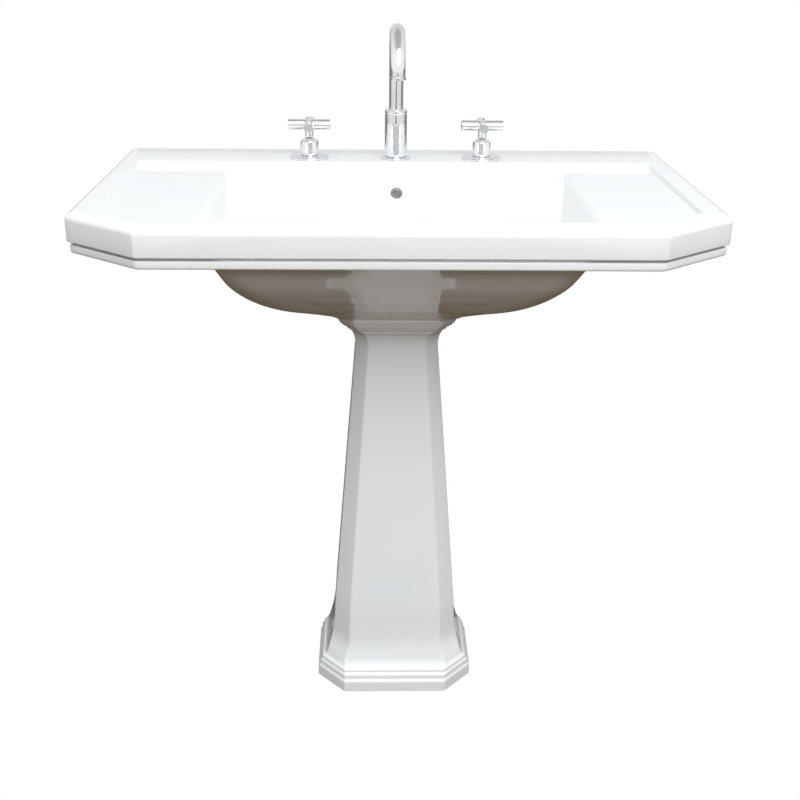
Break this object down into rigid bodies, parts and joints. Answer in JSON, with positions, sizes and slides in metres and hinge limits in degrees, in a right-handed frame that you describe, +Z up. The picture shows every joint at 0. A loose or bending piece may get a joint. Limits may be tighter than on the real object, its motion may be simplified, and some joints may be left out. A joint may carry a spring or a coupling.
{
  "type": "pedestal sink",
  "caption": "Clipped-corner china basin on a half-octagon pedestal, with a swivel swan-neck spout, cross-handle valves, a click-clack plug and a bottle trap.",
  "frame": {"origin": "on the floor, under the middle of the object's bounding box", "axes": "+Z up, -Y towards the user (basin front), +Y towards the wall, +X to the user's right"},
  "size_m": [0.9, 0.55, 1.067],
  "materials": {
    "basin_china": "gloss glaze",
    "pedestal_china": "gloss glaze",
    "chrome": "polished",
    "brass": "machined",
    "screw_steel": "machined",
    "rubber": "matt",
    "braid": "woven wire",
    "cartridge_plastic": "moulded",
    "aerator_plastic": "moulded",
    "trap_plastic": "satin"
  },
  "bodies": {
    "sink": {"basin": "basin_china", "pedestal": "pedestal_china", "hot_escutcheon": "chrome", "hot_valve_body": "brass", "hot_cartridge": "cartridge_plastic", "hot_bonnet": "chrome", "hot_rubber_washer": "rubber", "hot_backnut": "brass", "hot_link_hose": "braid", "hot_tee_union_nut": "brass", "hot_valve_union_nut": "brass", "cold_escutcheon": "chrome", "cold_valve_body": "brass", "cold_cartridge": "cartridge_plastic", "cold_bonnet": "chrome", "cold_rubber_washer": "rubber", "cold_backnut": "brass", "cold_link_hose": "braid", "cold_tee_union_nut": "brass", "cold_valve_union_nut": "brass", "spout_escutcheon": "chrome", "spout_body": "chrome", "spout_stop_screw": "screw_steel", "spout_shank": "brass", "spout_rubber_washer": "rubber", "spout_backnut": "brass", "waste_top_washer": "rubber", "waste_body": "chrome", "plug_post": "brass", "waste_bottom_washer": "rubber", "waste_backnut": "brass", "trap_body": "trap_plastic", "trap_inlet_nut": "trap_plastic", "trap_cup": "trap_plastic", "trap_cup_seal": "rubber", "outlet_pipe": "chrome", "outlet_nut": "trap_plastic", "wall_rose": "chrome"},
    "swivel_spout": {"spout_tube": "chrome", "spout_lower_o_ring": "rubber", "spout_upper_o_ring": "rubber", "aerator_housing": "chrome", "aerator_insert": "aerator_plastic"},
    "hot_control": {"hot_handle": "chrome", "hot_spindle": "screw_steel", "hot_grub_screw": "screw_steel"},
    "cold_control": {"cold_handle": "chrome", "cold_spindle": "screw_steel", "cold_grub_screw": "screw_steel"},
    "plug": {"waste_plug": "chrome", "plug_seal": "rubber"}
  },
  "joints": [
    {"name": "spout_swivel", "type": "hinge", "parent": "sink", "child": "swivel_spout", "pos_m": [0, 0.199, 0.92], "axis": [0, 0, 1], "range_deg": [-60, 60]},
    {"name": "hot_turn", "type": "hinge", "parent": "sink", "child": "hot_control", "pos_m": [-0.142, 0.199, 0.904], "axis": [0, 0, 1], "range_deg": [0, 90]},
    {"name": "cold_turn", "type": "hinge", "parent": "sink", "child": "cold_control", "pos_m": [0.142, 0.199, 0.904], "axis": [0, 0, 1], "range_deg": [-90, 0]},
    {"name": "plug_press", "type": "slide", "parent": "sink", "child": "plug", "axis": [0, 0, 1], "range_m": [-0.008, 0], "stiffness_N_per_m": 300, "springref_m": 0.01}
  ]
}
